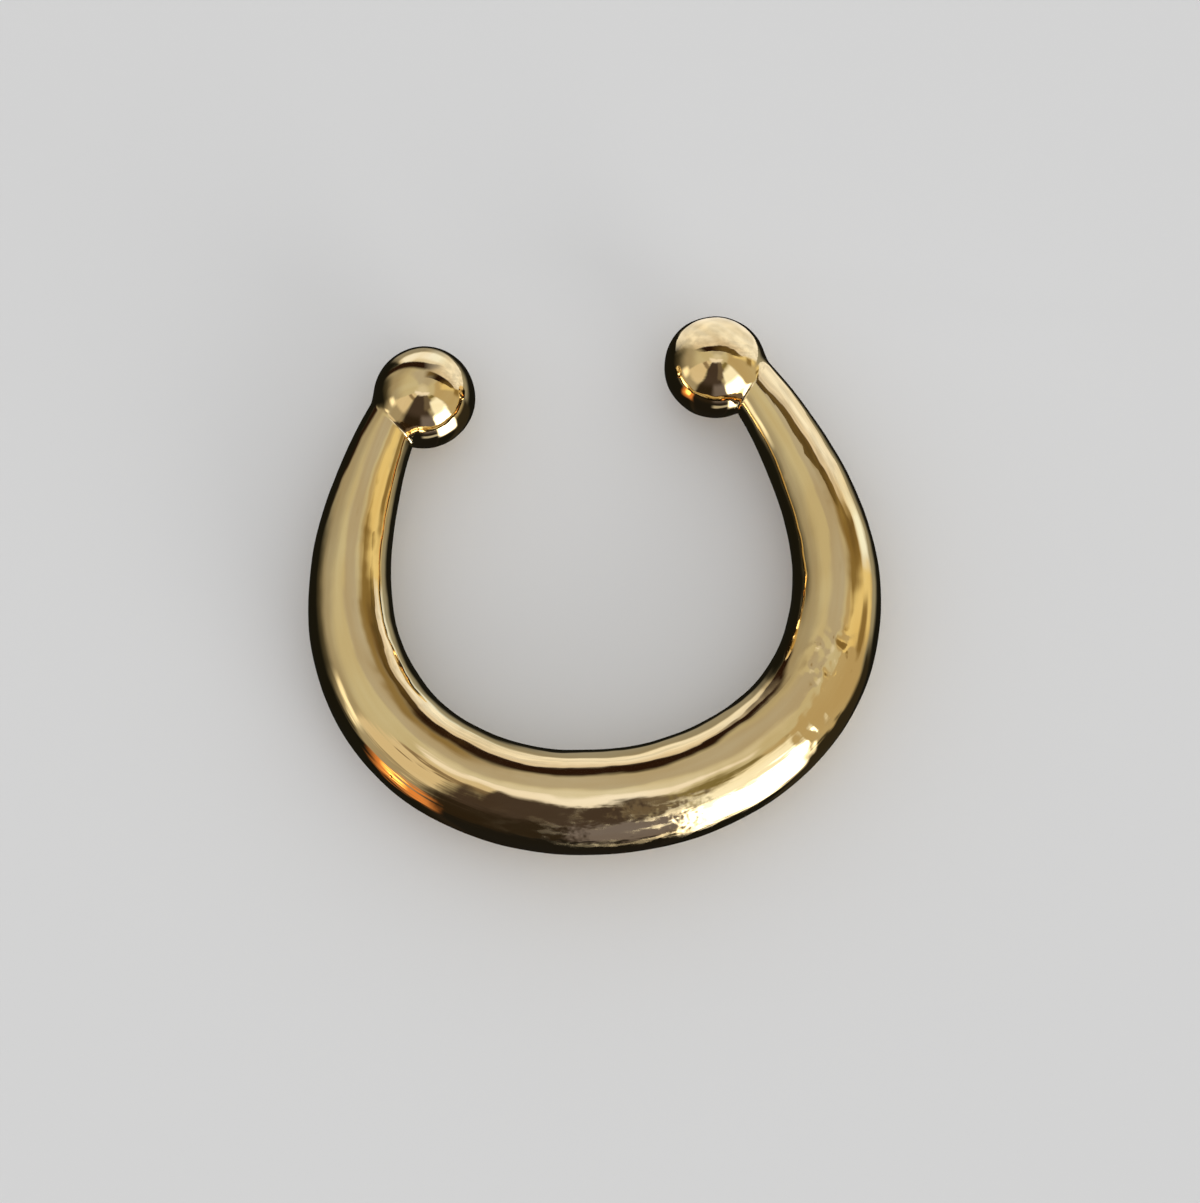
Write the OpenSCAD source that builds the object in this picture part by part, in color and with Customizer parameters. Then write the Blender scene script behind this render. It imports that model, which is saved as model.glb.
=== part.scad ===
// Clip-on septum ring. One round bar is bent to a horseshoe that is thickest in its middle
// and draws down to both ends, where it carries a ball. It lies flat, its mouth toward +Y.

/* [Bend] */
// Mean radius of the bar's centreline
bend_r = 6.25; // [5.6:0.05:7]
// Share of the radius by which the bend is longer than it is wide
oval = 0.054; // [0:0.002:0.07]
// Share of the radius by which the lower shoulders stand out and the arms draw in
shoulder = 0.046; // [0:0.002:0.06]
// Angle that the bar turns through round the middle of the bend, from end to end
bar_angle = 279; // [270:1:286]

/* [Thickness] */
// Diameter of both balls and of the bar's thick middle, on which the ring lies level
full_d = 2.55; // [2.4:0.05:2.8]
// Diameter of the bar where it ends inside a ball
tip_d = 1.2; // [1:0.02:1.3]

/* [Balls] */
// Distance from each ball's centre out to the bar's centreline
ball_inset = 0.42; // [0:0.02:0.44]

/* [Facets] */
// Flat sides round the bar
sides = 32; // [16:4:40]
// Sections along the bar
sections = 96; // [48:4:120]

/* [Hidden] */
full_r = full_d / 2;
tip_r = tip_d / 2;
end_angle = bar_angle / 2;
step = 2 * end_angle / sections;

// Distance of the centreline from the middle of the bend, at an angle from the bar's middle
function reach(a) = bend_r * (1 + oval * cos(2 * a) - shoulder * cos(3 * a));

// Radius of the bar at that angle
function bar_r(a) = full_r - (full_r - tip_r) * pow(a / end_angle, 2);

// Point of the plan at an angle and a distance from the middle of the bend
function plan(a, dist) = [dist * sin(a), -dist * cos(a)];

// How fast that distance grows with the angle in radians
function growth(a) = bend_r * (3 * shoulder * sin(3 * a) - 2 * oval * sin(2 * a));

// Heading in which the centreline runs at that angle: along the turn, and outward as it grows
function heading(a) = a - atan(growth(a) / reach(a));

// Centre of the right-hand ball, square off the bar's end toward the inside of the ring
inward = heading(end_angle) + 90;
ball_at = plan(end_angle, reach(end_angle)) + ball_inset * [cos(inward), sin(inward)];

// The ring's front and the far side of its balls, and the middle between them
front_y = -reach(0) - full_r;
back_y = ball_at[1] + full_r;
middle_y = (front_y + back_y) / 2;

// One round section of the bar, square to the centreline
function section(a) = let (at = plan(a, reach(a)), r = bar_r(a), side = heading(a) - 90)
    [for (i = [0 : sides - 1]) let (turn = 360 * i / sides)
        [
            at[0] + r * cos(turn) * cos(side),
            at[1] + r * cos(turn) * sin(side),
            full_r + r * sin(turn)
        ]
    ];

// The tapered bar, swept along its centreline from one ball to the other
module bar() {
    points = [for (k = [0 : sections]) each section(-end_angle + k * step)];
    wall = [for (k = [0 : sections - 1], i = [0 : sides - 1])
        let (j = (i + 1) % sides, here = k * sides, next = here + sides)
            [here + i, here + j, next + j, next + i]
    ];
    first_end = [for (i = [0 : sides - 1]) sides - 1 - i];
    last_end = [for (i = [0 : sides - 1]) sections * sides + i];
    polyhedron(points, concat(wall, [first_end, last_end]), convexity = 4);
}

// One ball, seated over the bar's end and a little inward of it, its seam away from the bar
module ball(side) {
    translate([side * ball_at[0], ball_at[1], full_r])
        rotate([0, 0, 90])
            sphere(d = full_d, $fn = 96);
}

// The whole ring, bar and balls in one piece of metal
module septum_ring() {
    color("#c9ab6b")
        translate([0, -middle_y, 0])
            union() {
                bar();
                ball(-1);
                ball(1);
            }
}

septum_ring();
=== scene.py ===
import math

import bpy
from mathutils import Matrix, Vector


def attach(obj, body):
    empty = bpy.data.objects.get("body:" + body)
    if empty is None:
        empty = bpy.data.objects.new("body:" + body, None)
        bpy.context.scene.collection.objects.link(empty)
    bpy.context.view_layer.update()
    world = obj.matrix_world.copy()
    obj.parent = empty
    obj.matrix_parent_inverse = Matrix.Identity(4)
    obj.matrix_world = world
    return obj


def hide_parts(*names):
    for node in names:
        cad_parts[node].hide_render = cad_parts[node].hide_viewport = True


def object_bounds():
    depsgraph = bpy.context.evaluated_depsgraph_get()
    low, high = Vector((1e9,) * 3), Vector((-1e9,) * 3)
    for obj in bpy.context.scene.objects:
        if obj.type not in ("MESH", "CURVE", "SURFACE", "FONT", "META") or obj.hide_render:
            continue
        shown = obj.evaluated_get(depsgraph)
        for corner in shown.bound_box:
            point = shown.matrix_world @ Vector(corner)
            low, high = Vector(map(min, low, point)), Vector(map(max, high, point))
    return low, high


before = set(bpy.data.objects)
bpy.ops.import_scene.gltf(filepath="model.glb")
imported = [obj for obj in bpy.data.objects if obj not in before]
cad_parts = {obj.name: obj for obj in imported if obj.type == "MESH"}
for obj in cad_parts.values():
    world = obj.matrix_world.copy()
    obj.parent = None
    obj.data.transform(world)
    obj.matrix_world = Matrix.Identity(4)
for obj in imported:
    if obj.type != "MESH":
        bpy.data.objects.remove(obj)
cad_low, cad_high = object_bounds()

# The bar. A round brass bar is cast as a horseshoe that tapers to both ends: a little longer than
# wide, with full shoulders beside its thick middle and arms that draw in. It lies flat, its mouth
# toward +Y. The ring's skin is one grid, rolled round this centreline.
MM = 0.001
BEND_RADIUS = 6.25 * MM
OVAL = 0.054
SHOULDER = 0.046
HALF_BAR_ANGLE = math.radians(139.5)
FULL_RADIUS = 1.275 * MM
TIP_RADIUS = 0.6 * MM
ROWS_ALONG = 601
POINTS_AROUND = 151
horseshoe = bpy.data.node_groups.new("horseshoe_ring", "GeometryNodeTree")
horseshoe.is_modifier = True
given = horseshoe.nodes.new("NodeGroupInput")


class Measure:
    """A number that a node tree works out: sums written with it lay down that tree's nodes."""

    def __init__(self, socket):
        self.socket = socket

    @staticmethod
    def feed(kind, values):
        """Adds a node to the tree of the first measure among the values, and fills its inputs."""
        tree = next(v for v in values if isinstance(v, Measure)).socket.id_data
        node = tree.nodes.new(kind)
        for place, value in zip(node.inputs, values):
            if isinstance(value, Measure):
                tree.links.new(value.socket, place)
            else:
                place.default_value = value
        return node

    @staticmethod
    def work(operation, *values):
        node = Measure.feed("ShaderNodeMath", values)
        node.operation = operation
        return Measure(node.outputs[0])

    def __add__(self, other):
        return Measure.work("ADD", self, other)

    def __sub__(self, other):
        return Measure.work("SUBTRACT", self, other)

    def __rsub__(self, other):
        return Measure.work("SUBTRACT", other, self)

    def __mul__(self, other):
        return Measure.work("MULTIPLY", self, other)

    def __truediv__(self, other):
        return Measure.work("DIVIDE", self, other)

    __radd__ = __add__
    __rmul__ = __mul__


def sine(angle):
    return Measure.work("SINE", angle)


def cosine(angle):
    return Measure.work("COSINE", angle)


def size_of(value):
    return Measure.work("ABSOLUTE", value)


def hypotenuse(*sides):
    return Measure.work("SQRT", sum(side * side for side in sides))


def larger(one, other):
    return Measure.work("MAXIMUM", one, other)


def ramp(value, low, high, start, end, smooth=False):
    """Turns low..high of a value into start..end, and stays at those ends outside."""
    node = Measure.feed("ShaderNodeMapRange", (value, low, high, start, end))
    node.interpolation_type = "SMOOTHSTEP" if smooth else "LINEAR"
    return Measure(node.outputs[0])


def stated(name, kind, value):
    """Adds a named input to the ring's tree, and returns what that input gives."""
    entry = horseshoe.interface.new_socket(name=name, in_out="INPUT", socket_type=kind)
    entry.default_value = value
    return Measure(given.outputs[name])


bend_radius = stated("Bend Radius", "NodeSocketFloat", BEND_RADIUS)
oval = stated("Oval", "NodeSocketFloat", OVAL)
shoulder = stated("Shoulder", "NodeSocketFloat", SHOULDER)
half_angle = stated("Half Bar Angle", "NodeSocketFloat", HALF_BAR_ANGLE)
full_radius = stated("Full Radius", "NodeSocketFloat", FULL_RADIUS)
tip_radius = stated("Tip Radius", "NodeSocketFloat", TIP_RADIUS)
rows_along = stated("Rows Along", "NodeSocketInt", ROWS_ALONG)
points_around = stated("Points Around", "NodeSocketInt", POINTS_AROUND)

# The grid's rows run from the left ball's far pole down the bar and up to the right ball's, and
# its columns once round the metal from its underside, closer together at the mould's parting
# line. Most rows are spread along the open bar, some lie close where bar and ball meet, and the
# rest close the ball.
CROWDING = 0.2
BAR_SHARE = 0.70
BALL_SHARE = 0.88
JOINT_LENGTH = 1.9 * MM
JOINT_TURN = JOINT_LENGTH / BEND_RADIUS

grid = horseshoe.nodes.new("GeometryNodeMeshGrid")
grid.inputs["Size X"].default_value = 1.0
grid.inputs["Size Y"].default_value = 1.0
horseshoe.links.new(rows_along.socket, grid.inputs["Vertices X"])
horseshoe.links.new(points_around.socket, grid.inputs["Vertices Y"])
position = horseshoe.nodes.new("GeometryNodeInputPosition")
split = horseshoe.nodes.new("ShaderNodeSeparateXYZ")
horseshoe.links.new(position.outputs[0], split.inputs[0])
lengthwise = Measure(split.outputs["X"]) * 2.0
around = Measure(split.outputs["Y"]) * math.tau + math.pi / 2
around = around - sine(around * 2.0) * CROWDING
side = Measure.work("SIGN", lengthwise)
outward = size_of(lengthwise)
turn = ramp(outward, 0.0, BAR_SHARE, 0.0, half_angle - JOINT_TURN)
turn = turn + ramp(outward, BAR_SHARE, BALL_SHARE, 0.0, JOINT_TURN)
cap = ramp(outward, BALL_SHARE, 1.0, 0.0, math.pi / 2)


def centreline(angle):
    """The bend at an angle from the bar's middle: its point there, and the way it heads."""
    reach = bend_radius * (1.0 + oval * cosine(angle * 2.0) - shoulder * cosine(angle * 3.0))
    growth = bend_radius * (3.0 * shoulder * sine(angle * 3.0) - 2.0 * oval * sine(angle * 2.0))
    ahead_x = growth * sine(angle) + reach * cosine(angle)
    ahead_y = reach * sine(angle) - growth * cosine(angle)
    length = hypotenuse(ahead_x, ahead_y)
    return reach * sine(angle), reach * cosine(angle) * -1.0, ahead_x / length, ahead_y / length


x, y, along_x, along_y = centreline(turn)
taper = turn / half_angle
bar_radius = full_radius - (full_radius - tip_radius) * taper * taper

# The balls. Each is as thick as the bar's middle and sits over the bar's end, a little inward of
# it. They come out of the same mould as the bar, so a narrow fillet runs round the joint.
# Inside a ball the bar's rows swing over to the ball's centre, where nothing of them shows.
COVERED_TURN = 0.088
FILLET_FULLNESS = 0.25
ball_inset = stated("Ball Inset", "NodeSocketFloat", 0.42 * MM)
fillet = stated("Joint Fillet", "NodeSocketFloat", 0.13 * MM)
end_x, end_y, end_along_x, end_along_y = centreline(half_angle)
ball_x = end_x - ball_inset * end_along_y
ball_y = end_y + ball_inset * end_along_x
ahead = (ball_x - x) * along_x + (ball_y - y) * along_y
inset = (ball_x - x) * along_y - (ball_y - y) * along_x
shift = inset * ramp(turn, half_angle - COVERED_TURN, half_angle, 0.0, 1.0, smooth=True)
aside = inset - shift
beside = aside * sine(around)
room = full_radius * full_radius - ahead * ahead - beside * beside
within_ball = Measure.work("GREATER_THAN", room, 0.0)
ball_radius = within_ball * (
    aside * cosine(around) + Measure.work("SQRT", larger(room, 0.0))
)
closeness = larger(1.0 - size_of(bar_radius - ball_radius) / fillet, 0.0)
skin = larger(bar_radius, ball_radius) + fillet * closeness * closeness * FILLET_FULLNESS

# The casting and its polish. The two halves of the mould leave a fine broken ridge round the
# middle of the bar's height, polished off the balls. Buffing by hand leaves the rest very
# slightly wavy, longer along the bar than across it. The right shoulder is creased in two places.
RIDGE_HALF_WIDTH = 0.075 * MM
RIDGE_FADE_START = 0.5
RIDGE_FADE_END = 0.25
wave_depth = stated("Wave Depth", "NodeSocketFloat", 0.070 * MM)
ripple_depth = stated("Ripple Depth", "NodeSocketFloat", 0.010 * MM)
crease_depth = stated("Crease Depth", "NodeSocketFloat", 0.150 * MM)
ridge_height = stated("Parting Ridge", "NodeSocketFloat", 0.018 * MM)

run = side * (bend_radius * turn + full_radius * sine(cap))
across = skin * cosine(cap) * cosine(around)
upright = skin * cosine(cap) * sine(around)


def grain(stretch, per_metre, seed):
    """A fixed noise on the ring as if it were straight: drawn out along the bar by a stretch."""
    place = Measure.feed("ShaderNodeCombineXYZ", (run / stretch + seed, across, upright))
    noise = horseshoe.nodes.new("ShaderNodeTexNoise")
    noise.inputs["Detail"].default_value = 1.0
    noise.inputs["Scale"].default_value = per_metre
    horseshoe.links.new(place.outputs[0], noise.inputs["Vector"])
    return Measure(noise.outputs[0])


def crease(place, lengthening, inner, outer, strength):
    """A patch round a place on the straightened ring, full to inner and gone from outer, in mm."""
    place_along, place_out, place_up = place
    away = hypotenuse(
        (run - place_along * MM) * lengthening, across - place_out * MM, upright - place_up * MM
    )
    return ramp(away, inner * MM, outer * MM, strength, 0.0, smooth=True)


creased = larger(
    crease((6.1, 0.15, 1.14), 0.8, 0.25, 0.9, 1.0),
    crease((4.8, 0.75, 0.95), 0.7, 0.2, 0.8, 0.45),
)
parting = ramp(size_of(upright), 0.0, RIDGE_HALF_WIDTH, 1.0, 0.0, smooth=True)
parting = parting * ramp(
    turn, half_angle - RIDGE_FADE_START, half_angle - RIDGE_FADE_END, 1.0, 0.0
)
left_proud = ramp(grain(4.0, 1400.0, 0.83), 0.47, 0.62, 0.1, 1.0)
worn = (
    (grain(1.8, 900.0, 0.11) - 0.5) * wave_depth
    + (grain(1.3, 2300.0, 0.37) - 0.5) * ripple_depth
    + (grain(1.0, 3200.0, 0.59) - 0.5) * creased * crease_depth
    - parting * left_proud * ridge_height
)
level = (skin - worn) * cosine(cap) * cosine(around) + shift
lift = (skin - worn) * cosine(cap) * sine(around)
beyond = (full_radius - worn) * sine(cap)

middle_y = stated("Middle Y", "NodeSocketFloat", 0.0)
rolled = Measure.feed("ShaderNodeCombineXYZ", (
    side * (x + level * along_y + beyond * along_x),
    y - level * along_x + beyond * along_y - middle_y,
    full_radius + lift,
))
girth_share = around / math.tau + 0.25
run_share = run / (bend_radius * half_angle + full_radius) * 0.5 + 0.5
flat = Measure.feed("ShaderNodeCombineXYZ", (run_share, girth_share, 0.0))

# The pieces of the tree follow each other: the flat grid gets its UV map, is rolled up, welded
# along its seam and at both poles, shaded smooth and given its metal.
WELD_REACH = 0.0002 * MM
horseshoe.interface.new_socket(
    name="Metal", in_out="INPUT", socket_type="NodeSocketMaterial"
)
horseshoe.interface.new_socket(name="Ring", in_out="OUTPUT", socket_type="NodeSocketGeometry")
unwrap = horseshoe.nodes.new("GeometryNodeStoreNamedAttribute")
unwrap.data_type = "FLOAT2"
unwrap.domain = "CORNER"
unwrap.inputs["Name"].default_value = "UVMap"
roll = horseshoe.nodes.new("GeometryNodeSetPosition")
weld = horseshoe.nodes.new("GeometryNodeMergeByDistance")
weld.inputs["Distance"].default_value = WELD_REACH
smooth = horseshoe.nodes.new("GeometryNodeSetShadeSmooth")
realize = horseshoe.nodes.new("GeometryNodeRealizeInstances")
plate = horseshoe.nodes.new("GeometryNodeSetMaterial")
finished = horseshoe.nodes.new("NodeGroupOutput")
steps = [grid, unwrap, roll, weld, smooth, realize, plate, finished]
for earlier, later in zip(steps, steps[1:]):
    horseshoe.links.new(earlier.outputs[0], later.inputs[0])
horseshoe.links.new(flat.outputs[0], unwrap.inputs["Value"])
horseshoe.links.new(rolled.outputs[0], roll.inputs["Position"])
horseshoe.links.new(given.outputs["Metal"], plate.inputs["Material"])

# The plating. A thin coat of pale yellow gold over the brass, buffed to a mirror. Its tone
# drifts a little, fine buffing lines run along the bar, and there are a few tiny pits.
gold = bpy.data.materials.new("polished_gold")
gold.use_nodes = True
plating = gold.node_tree
shader = plating.nodes["Principled BSDF"]
shader.inputs["Metallic"].default_value = 1.0
spot = plating.nodes.new("ShaderNodeTexCoord").outputs["Object"]
unrolled = plating.nodes.new("ShaderNodeUVMap")
unrolled.uv_map = "UVMap"
LENGTH_ALONG = 33.0
LENGTH_ROUND = 8.0
PALE_GOLD = (0.985, 0.800, 0.465, 1.0)
DEEP_GOLD = (0.900, 0.680, 0.345, 1.0)
MIRROR_ROUGHNESS = 0.025


def spread(vector, scale):
    """Scales a pattern's place by a number for each direction."""
    node = plating.nodes.new("ShaderNodeVectorMath")
    node.operation = "MULTIPLY"
    plating.links.new(vector, node.inputs[0])
    node.inputs[1].default_value = scale
    return node.outputs[0]


def cloud(vector, scale, detail):
    """A soft noise at a place, as a measure from about 0.2 to 0.8."""
    node = plating.nodes.new("ShaderNodeTexNoise")
    node.inputs["Scale"].default_value = scale
    node.inputs["Detail"].default_value = detail
    plating.links.new(vector, node.inputs["Vector"])
    return Measure(node.outputs[0])


def drawn(per_mm_along, per_mm_round, detail):
    """A noise drawn out on the unrolled skin, with so many grains to the mm along and around."""
    scale = (LENGTH_ALONG * per_mm_along, LENGTH_ROUND * per_mm_round, 1)
    return cloud(spread(unrolled.outputs[0], scale), 1.0, detail)


def patch(middle, reach):
    """1 at a place on the unrolled skin and 0 beyond its reach, along and around, both in mm."""
    node = plating.nodes.new("ShaderNodeVectorMath")
    node.operation = "MULTIPLY_ADD"
    plating.links.new(unrolled.outputs[0], node.inputs[0])
    node.inputs[1].default_value = (LENGTH_ALONG / reach[0], LENGTH_ROUND / reach[1], 0.0)
    node.inputs[2].default_value = (-middle[0] / reach[0], -middle[1] / reach[1], 0.0)
    away = plating.nodes.new("ShaderNodeVectorMath")
    away.operation = "LENGTH"
    plating.links.new(node.outputs[0], away.inputs[0])
    return ramp(Measure(away.outputs["Value"]), 0.3, 1.0, 1.0, 0.0, smooth=True)


# Buffing lines run all along the bar. Deeper grooves lie in two patches of its front, left and
# right of the middle, with specks and soft dapples between them.
hairlines = drawn(0.7, 15, 3.0)
grooves = drawn(0.5, 5, 2.0)
streaked = patch((11.8, 2.8), (2.6, 1.3)) + patch((20.2, 3.0), (2.2, 0.9)) * 0.6
speckled = patch((17.0, 2.95), (4.6, 0.95))
specks = drawn(1.7, 4.5, 2.0)
dappled = patch((16.0, 2.9), (4.2, 1.0))
haze = ramp(cloud(spot, 420.0, 2.0), 0.40, 0.68, 0.0, 1.0, smooth=True)
pit_cells = plating.nodes.new("ShaderNodeTexVoronoi")
pit_cells.inputs["Scale"].default_value = 1500.0
plating.links.new(spot, pit_cells.inputs["Vector"])
pit_pick = plating.nodes.new("ShaderNodeSeparateColor")
plating.links.new(pit_cells.outputs["Color"], pit_pick.inputs[0])
pit_chosen = ramp(Measure(pit_pick.outputs[0]), 0.86, 0.90, 0.0, 1.0)
pit = ramp(Measure(pit_cells.outputs["Distance"]), 0.03, 0.10, 1.0, 0.0, smooth=True)
pit = pit * pit_chosen

tone = plating.nodes.new("ShaderNodeMix")
tone.data_type = "RGBA"
tone.inputs["A"].default_value = PALE_GOLD
tone.inputs["B"].default_value = DEEP_GOLD
streaks = drawn(0.25, 2.2, 2.0)
drift = ramp(cloud(spot, 300.0, 3.0) * 0.5 + streaks * 0.5, 0.40, 0.60, 0.0, 1.0)
plating.links.new(drift.socket, tone.inputs["Factor"])
plating.links.new(tone.outputs["Result"], shader.inputs["Base Color"])
# Haze, pits, buffing lines and specks each dull the mirror by a share of their own.
roughness = MIRROR_ROUGHNESS + haze * 0.035 + pit * 0.2
roughness = roughness + ramp(hairlines, 0.50, 0.75, 0.0, 0.035)
roughness = roughness + speckled * ramp(specks, 0.50, 0.64, 0.0, 0.32)
plating.links.new(roughness.socket, shader.inputs["Roughness"])

# Each relief has its pattern, and the depth in mm that a full step of the pattern stands for.
relief = None
for pattern, depth in (
    (cloud(spot, 1500.0, 2.0), 0.0012),
    (hairlines, 0.0004),
    (grooves * (streaked + 0.07), 0.022),
    (specks * speckled, 0.018),
    (cloud(spot, 2500.0, 2.0) * dappled, 0.018),
    (pit * -1.0, 0.008),
):
    bump = plating.nodes.new("ShaderNodeBump")
    bump.inputs["Distance"].default_value = depth * MM
    plating.links.new(pattern.socket, bump.inputs["Height"])
    if relief:
        plating.links.new(relief.outputs[0], bump.inputs["Normal"])
    relief = bump
plating.links.new(relief.outputs[0], shader.inputs["Normal"])

# The tree's result is made a plain mesh, which is the ring.
FRONT_REACH = BEND_RADIUS * (1 + OVAL - SHOULDER) + FULL_RADIUS
blank = bpy.data.objects.new("ring_blank", bpy.data.meshes.new("ring_blank"))
bpy.context.scene.collection.objects.link(blank)
form = blank.modifiers.new("horseshoe", "NODES")
form.node_group = horseshoe
entries = {item.name: item.identifier for item in horseshoe.interface.items_tree}
form[entries["Middle Y"]] = -FRONT_REACH - cad_low.y
form[entries["Metal"]] = gold
graph = bpy.context.evaluated_depsgraph_get()
ring_mesh = bpy.data.meshes.new_from_object(blank.evaluated_get(graph), depsgraph=graph)
ring = bpy.data.objects.new("gold_ring", ring_mesh)
bpy.context.scene.collection.objects.link(ring)
bpy.data.objects.remove(blank)
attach(ring, "root")
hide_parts("septum_ring")

# The floor is a plain sheet of pale paper, laid flat under the ring. Mirror rays pass it by,
# because a pale ground in the polished metal would wash out its dark edges.
FLOOR_HALF = 1.0
PAPER_GREY = (0.80, 0.80, 0.80, 1)
PAPER_ROUGHNESS = 0.9
floor_mesh = bpy.data.meshes.new("floor")
corners = [(-1, -1, 0), (1, -1, 0), (1, 1, 0), (-1, 1, 0)]
floor_mesh.from_pydata([Vector(corner) * FLOOR_HALF for corner in corners], [], [(0, 1, 2, 3)])
floor = bpy.data.objects.new("floor", floor_mesh)
bpy.context.scene.collection.objects.link(floor)
paper = bpy.data.materials.new("pale_paper")
paper.use_nodes = True
paper_shader = paper.node_tree.nodes["Principled BSDF"]
paper_shader.inputs["Base Color"].default_value = PAPER_GREY
paper_shader.inputs["Roughness"].default_value = PAPER_ROUGHNESS
floor_mesh.materials.append(paper)
floor.visible_glossy = False

# The camera looks down at the ring from its closed side, a touch from the left. It stands about
# 90 mm off, with a lens that lets the ring fill about half of the picture's width.
CAMERA_AZIMUTH = math.radians(-6.25)
CAMERA_ELEVATION = math.radians(75.12)
CAMERA_DISTANCE = 89.76 * MM
CAMERA_AIM = Vector((0.167, -0.016, 0.0)) * MM
CAMERA_LENS = 107.7
CAMERA_NEAREST = 5 * MM
camera = bpy.data.objects.new("camera", bpy.data.cameras.new("camera"))
bpy.context.scene.collection.objects.link(camera)
camera.data.lens = CAMERA_LENS
camera.data.clip_start = CAMERA_NEAREST
back = Vector((
    math.sin(CAMERA_AZIMUTH) * math.cos(CAMERA_ELEVATION),
    -math.cos(CAMERA_AZIMUTH) * math.cos(CAMERA_ELEVATION),
    math.sin(CAMERA_ELEVATION),
))
camera.location = CAMERA_AIM + back * CAMERA_DISTANCE
camera.rotation_euler = (-back).to_track_quat("-Z", "Y").to_euler()
bpy.context.scene.camera = camera

# The studio is a pale cloth tent round the ring, with one tall lamp panel at the front right.
# Polished gold shows nothing but its surroundings, so the tent has what gives the metal its
# bands: a bright back cloth under a dark seam, a golden cloth, a brown opening, a dark ground.
# The back cloth's hem rises a little to the right and falls again, and the seam lies on it.
HEM_HEIGHT = 22.0
HEM_RISE = 0.32
HEM_FALL = 0.013
HEM_END = 38.0
SEAM_TOP = 20
PLAIN_CLOTH = (0.58, 0.565, 0.47, 1.0)
studio = bpy.data.worlds.new("studio")
studio.use_nodes = True
tent = studio.node_tree
gaze = tent.nodes.new("ShaderNodeTexCoord")
compass = tent.nodes.new("ShaderNodeSeparateXYZ")
tent.links.new(gaze.outputs["Generated"], compass.inputs[0])
to_right, to_back, upward = (Measure(compass.outputs[name]) for name in "XYZ")
from_back = Measure.work("ARCTAN2", to_right, to_back) * math.degrees(1)
all_round = 180.0 - Measure.work("ARCTAN2", to_right, to_back * -1.0) * math.degrees(1)
height = Measure.work("ARCSINE", upward) * math.degrees(1)
along_hem = Measure.work("MINIMUM", from_back, HEM_END)
over_hem = height - (HEM_HEIGHT + along_hem * HEM_RISE - along_hem * along_hem * HEM_FALL)

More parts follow.
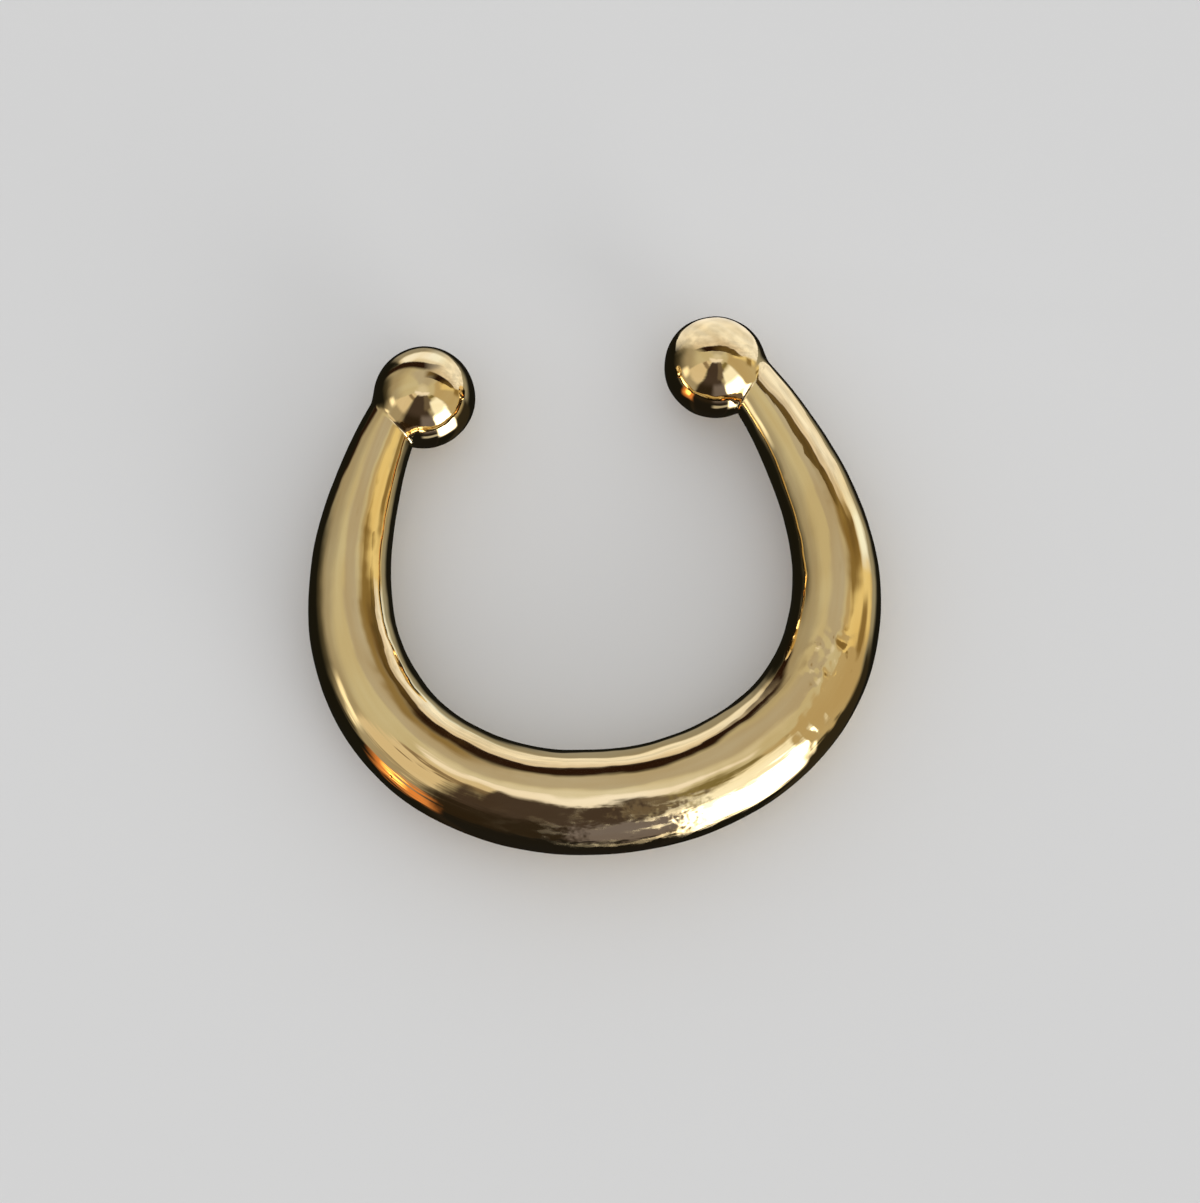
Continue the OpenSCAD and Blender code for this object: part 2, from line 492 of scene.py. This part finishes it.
# Each hanging has a colour and its limits in degrees: which measure, from, to and soft edge.
# None leaves a side open. Later ones hang in front of earlier ones.
hangings = [
    # The roof, dimmer low down and brightest overhead
    ((0.38, 0.355, 0.30), [(height, None, 38, 16)]),
    ((0.47, 0.45, 0.42), [(from_back, -25, 50, 12), (height, 44, 78, 6)]),
    ((0.70, 0.70, 0.68), [(height, 79, None, 6)]),
    ((0.93, 0.94, 1.05), [(all_round, 110, 290, 14), (height, 74, 87, 3)]),
    ((0.06, 0.055, 0.04), [(all_round, 268, 306, 8), (height, None, 9, 14)]),
    # The golden cloth on the right and its folds
    ((0.50, 0.425, 0.28), [(from_back, 60, 127, 6), (height, None, 64, 5)]),
    ((0.27, 0.205, 0.10), [(from_back, 16, 62, 10), (over_hem, SEAM_TOP, SEAM_TOP + 18, 6)]),
    ((0.80, 0.68, 0.38), [(from_back, 68, 92, 4), (height, -8, 50, 6)]),
    ((0.26, 0.19, 0.08), [(from_back, 82, 98, 4), (height, 3, 18, 4)]),
    # The bright back cloth, and the dark seam along its top and down its left side
    ((0.74, 0.73, 0.72), [(from_back, -28, 74, 2.5), (over_hem, None, 0, 2)]),
    ((0.97, 1.03, 1.20), [(from_back, -24, 62, 4), (height, -8, 14, 5)]),
    ((1.02, 1.18, 1.42), [(from_back, 18, 72, 5), (height, -16, 11, 5)]),
    ((0.24, 0.17, 0.065), [(from_back, 54, 74, 5), (height, 15, 48, 4)]),
    (
        (0.13, 0.085, 0.035),
        [(from_back, 20, 64, 7), (over_hem, 0, None, 2), (over_hem, None, SEAM_TOP, 7)],
    ),
    (
        (0.022, 0.010, 0.006),
        [(from_back, -60, 34, 8), (over_hem, 0, None, 2), (over_hem, None, SEAM_TOP, 6)],
    ),
    ((0.03, 0.032, 0.028), [(from_back, -52, -30, 2), (over_hem, None, 0, 2)]),
    # The bright cloth at the front left, with a strap across it
    ((0.72, 0.66, 0.56), [(all_round, 227, 262, 3), (height, 20, 74, 6)]),
    ((0.28, 0.23, 0.17), [(all_round, 214, 262, 5), (height, 58, 66, 2.5)]),
    # The ground
    ((0.32, 0.32, 0.29), [(from_back, -28, 100, 4), (height, None, -12, 6)]),
    ((0.010, 0.010, 0.008), [(height, None, -30, 10)]),
    ((0.31, 0.30, 0.27), [(from_back, -28, 14, 6), (height, -38, -12, 4)]),
    ((0.010, 0.010, 0.008), [(all_round, 236, 332, 6), (height, None, -10, 9)]),
    ((0.03, 0.026, 0.018), [(all_round, 92, 130, 5), (height, None, -16, 8)]),
    # The opening at the front, with a thin veil over its right part and a pale strip at its foot
    ((0.060, 0.046, 0.044), [(all_round, 166, 225, 5), (height, None, 76, 4)]),
    ((0.15, 0.125, 0.105), [(all_round, 150, 176, 5), (height, 42, 75, 4)]),
    ((0.026, 0.019, 0.013), [(all_round, 190, 228, 7), (height, None, 28, 12)]),
    ((0.17, 0.155, 0.19), [(all_round, 163, 189, 5), (height, -17, 30, 7)]),
    ((0.012, 0.011, 0.010), [(all_round, 163, 225, 5), (height, None, -19, 8)]),
    ((0.55, 0.55, 0.55), [(all_round, 160, 190, 4), (height, -35, -28, 3)]),
    # Two small lamps, one white and one amber with a bright core, a dark gold band above the
    # tall panel, and last the panel itself, dimmer at its top
    ((1.3, 1.25, 1.1), [(all_round, 257, 270, 5), (height, 6, 20, 5)]),
    ((0.8, 0.30, 0.09), [(all_round, 225, 248, 4), (height, -34, -4, 7)]),
    ((3.0, 1.9, 0.6), [(all_round, 235, 242, 3), (height, -24, -8, 5)]),
    ((0.22, 0.19, 0.09), [(from_back, 126, 154, 5), (height, 59, 68, 3)]),
    ((1.05, 1.10, 1.15), [(from_back, 127, 158, 4), (height, 10, 54, 5)]),
    ((4.5, 4.5, 4.6), [(from_back, 129, 162, 4), (height, -40, 24, 8)]),
]


def within(measure, start, end, edge):
    """1 where a measure lies between start and end, and fades to 0 across the edge's width."""
    inside = 1.0
    if start is not None:
        inside = inside * ramp(measure, start - edge, start + edge, 0.0, 1.0, smooth=True)
    if end is not None:
        inside = inside * ramp(measure, end - edge, end + edge, 1.0, 0.0, smooth=True)
    return inside


def glow(colour):
    """A light of one colour, or of the colour that a socket gives."""
    node = tent.nodes.new("ShaderNodeBackground")
    if isinstance(colour, tuple):
        node.inputs["Color"].default_value = (*colour, 1.0)
    else:
        tent.links.new(colour, node.inputs["Color"])
    return node.outputs[0]


def either(where, usual, special):
    """One light where the socket gives 0 and another where it gives 1."""
    node = tent.nodes.new("ShaderNodeMixShader")
    for place, source in zip(node.inputs, (where, usual, special)):
        tent.links.new(source, place)
    return node.outputs[0]


cloth = tent.nodes.new("ShaderNodeRGB")
cloth.outputs[0].default_value = PLAIN_CLOTH
mirrored = cloth.outputs[0]
for colour, limits in hangings:
    where = 1.0
    for limit in limits:
        where = where * within(*limit)
    hung = tent.nodes.new("ShaderNodeMix")
    hung.data_type = "RGBA"
    tent.links.new(where.socket, hung.inputs["Factor"])
    tent.links.new(mirrored, hung.inputs["A"])
    hung.inputs["B"].default_value = (*colour, 1.0)
    mirrored = hung.outputs["Result"]
tall_panel = where

# The metal mirrors the whole tent. The floor takes its light from the roof and the panel alone,
# and beyond the floor the camera sees plain cloth.
ROOF_LIGHT = (0.76, 0.76, 0.76)
PANEL_LIGHT = (4.5, 4.5, 4.5)
BACKDROP = (0.66, 0.66, 0.65)
ray = tent.nodes.new("ShaderNodeLightPath")
soft_light = either(tall_panel.socket, glow(ROOF_LIGHT), glow(PANEL_LIGHT))
lit = either(ray.outputs["Is Glossy Ray"], soft_light, glow(mirrored))
lit = either(ray.outputs["Is Camera Ray"], lit, glow(BACKDROP))
tent.links.new(lit, tent.nodes["World Output"].inputs["Surface"])
bpy.context.scene.world = studio
bpy.context.scene.view_settings.view_transform = "Standard"

# A bounce card stands behind the ring at the right. The right arm and ball are close to it and
# mirror it high up, and the left arm mirrors it low and small. It is pale, with a golden far end
# and a dark edge along its top, and both its ends are sheer. Only the metal sees it.
CARD_LEFT = Vector((-3.2, 9.8, 0.0)) * MM
CARD_RIGHT = Vector((16.0, 5.5, 0.0)) * MM
CARD_RISE = Vector((0.0, 0.0, 11.0)) * MM
SOLID_FROM = 0.8 * MM
SOLID_TO = 12.5 * MM
PALE_HEIGHT = 7.1
EDGE_BLUR = 0.3
card_mesh = bpy.data.meshes.new("bounce_card")
card_corners = [CARD_LEFT, CARD_RIGHT, CARD_RIGHT + CARD_RISE, CARD_LEFT + CARD_RISE]
card_mesh.from_pydata(card_corners, [], [(0, 1, 2, 3)])
card = bpy.data.objects.new("bounce_card", card_mesh)
bpy.context.scene.collection.objects.link(card)
card_paint = bpy.data.materials.new("card_paint")
card_paint.use_nodes = True
board = card_paint.node_tree
board_spot = board.nodes.new("ShaderNodeTexCoord").outputs["Object"]
board_axes = board.nodes.new("ShaderNodeSeparateXYZ")
board.links.new(board_spot, board_axes.inputs[0])
board_x, board_z = Measure(board_axes.outputs["X"]), Measure(board_axes.outputs["Z"])


def blend(measure, start, end, before, after):
    """The colour before where a measure in mm is below start, and the one after beyond its end."""
    node = board.nodes.new("ShaderNodeMix")
    node.data_type = "RGBA"
    share = ramp(measure, start * MM, end * MM, 0.0, 1.0, smooth=True)
    board.links.new(share.socket, node.inputs["Factor"])
    for name, colour in (("A", before), ("B", after)):
        if isinstance(colour, tuple):
            node.inputs[name].default_value = (*colour, 1.0)
        else:
            board.links.new(colour, node.inputs[name])
    return node.outputs["Result"]


white, grey, golden = (0.95, 0.98, 1.08), (0.74, 0.70, 0.70), (0.80, 0.68, 0.38)
pale = blend(board_z, 3.0, 6.5, white, grey)
pale = blend(board_x, 12.0, 15.5, pale, golden)
black, brown, bronze = (0.022, 0.010, 0.006), (0.13, 0.09, 0.035), (0.35, 0.27, 0.11)
dark = blend(board_x, 2.0, 6.0, black, brown)
dark = blend(board_x, 10.0, 15.5, dark, bronze)
card_colour = blend(board_z, PALE_HEIGHT - EDGE_BLUR, PALE_HEIGHT + EDGE_BLUR, pale, dark)
mottle = board.nodes.new("ShaderNodeTexNoise")
mottle.inputs["Scale"].default_value = 700.0
mottle.inputs["Detail"].default_value = 2.0
board.links.new(board_spot, mottle.inputs["Vector"])
brightness = ramp(Measure(mottle.outputs[0]), 0.35, 0.65, 0.80, 1.08)
painted = board.nodes.new("ShaderNodeEmission")
board.links.new(card_colour, painted.inputs["Color"])
board.links.new(brightness.socket, painted.inputs["Strength"])
clear = board.nodes.new("ShaderNodeBsdfTransparent")
faded = board.nodes.new("ShaderNodeMixShader")
from_left = ramp(board_x, CARD_LEFT.x, SOLID_FROM, 0.0, 1.0)
to_far_end = ramp(board_x, SOLID_TO, CARD_RIGHT.x, 1.0, 0.0)
board.links.new((from_left * to_far_end).socket, faded.inputs["Fac"])
board.links.new(clear.outputs[0], faded.inputs[1])
board.links.new(painted.outputs[0], faded.inputs[2])
board.links.new(faded.outputs[0], board.nodes["Material Output"].inputs["Surface"])
card_mesh.materials.append(card_paint)
card.visible_camera = False
card.visible_diffuse = False
card.visible_shadow = False
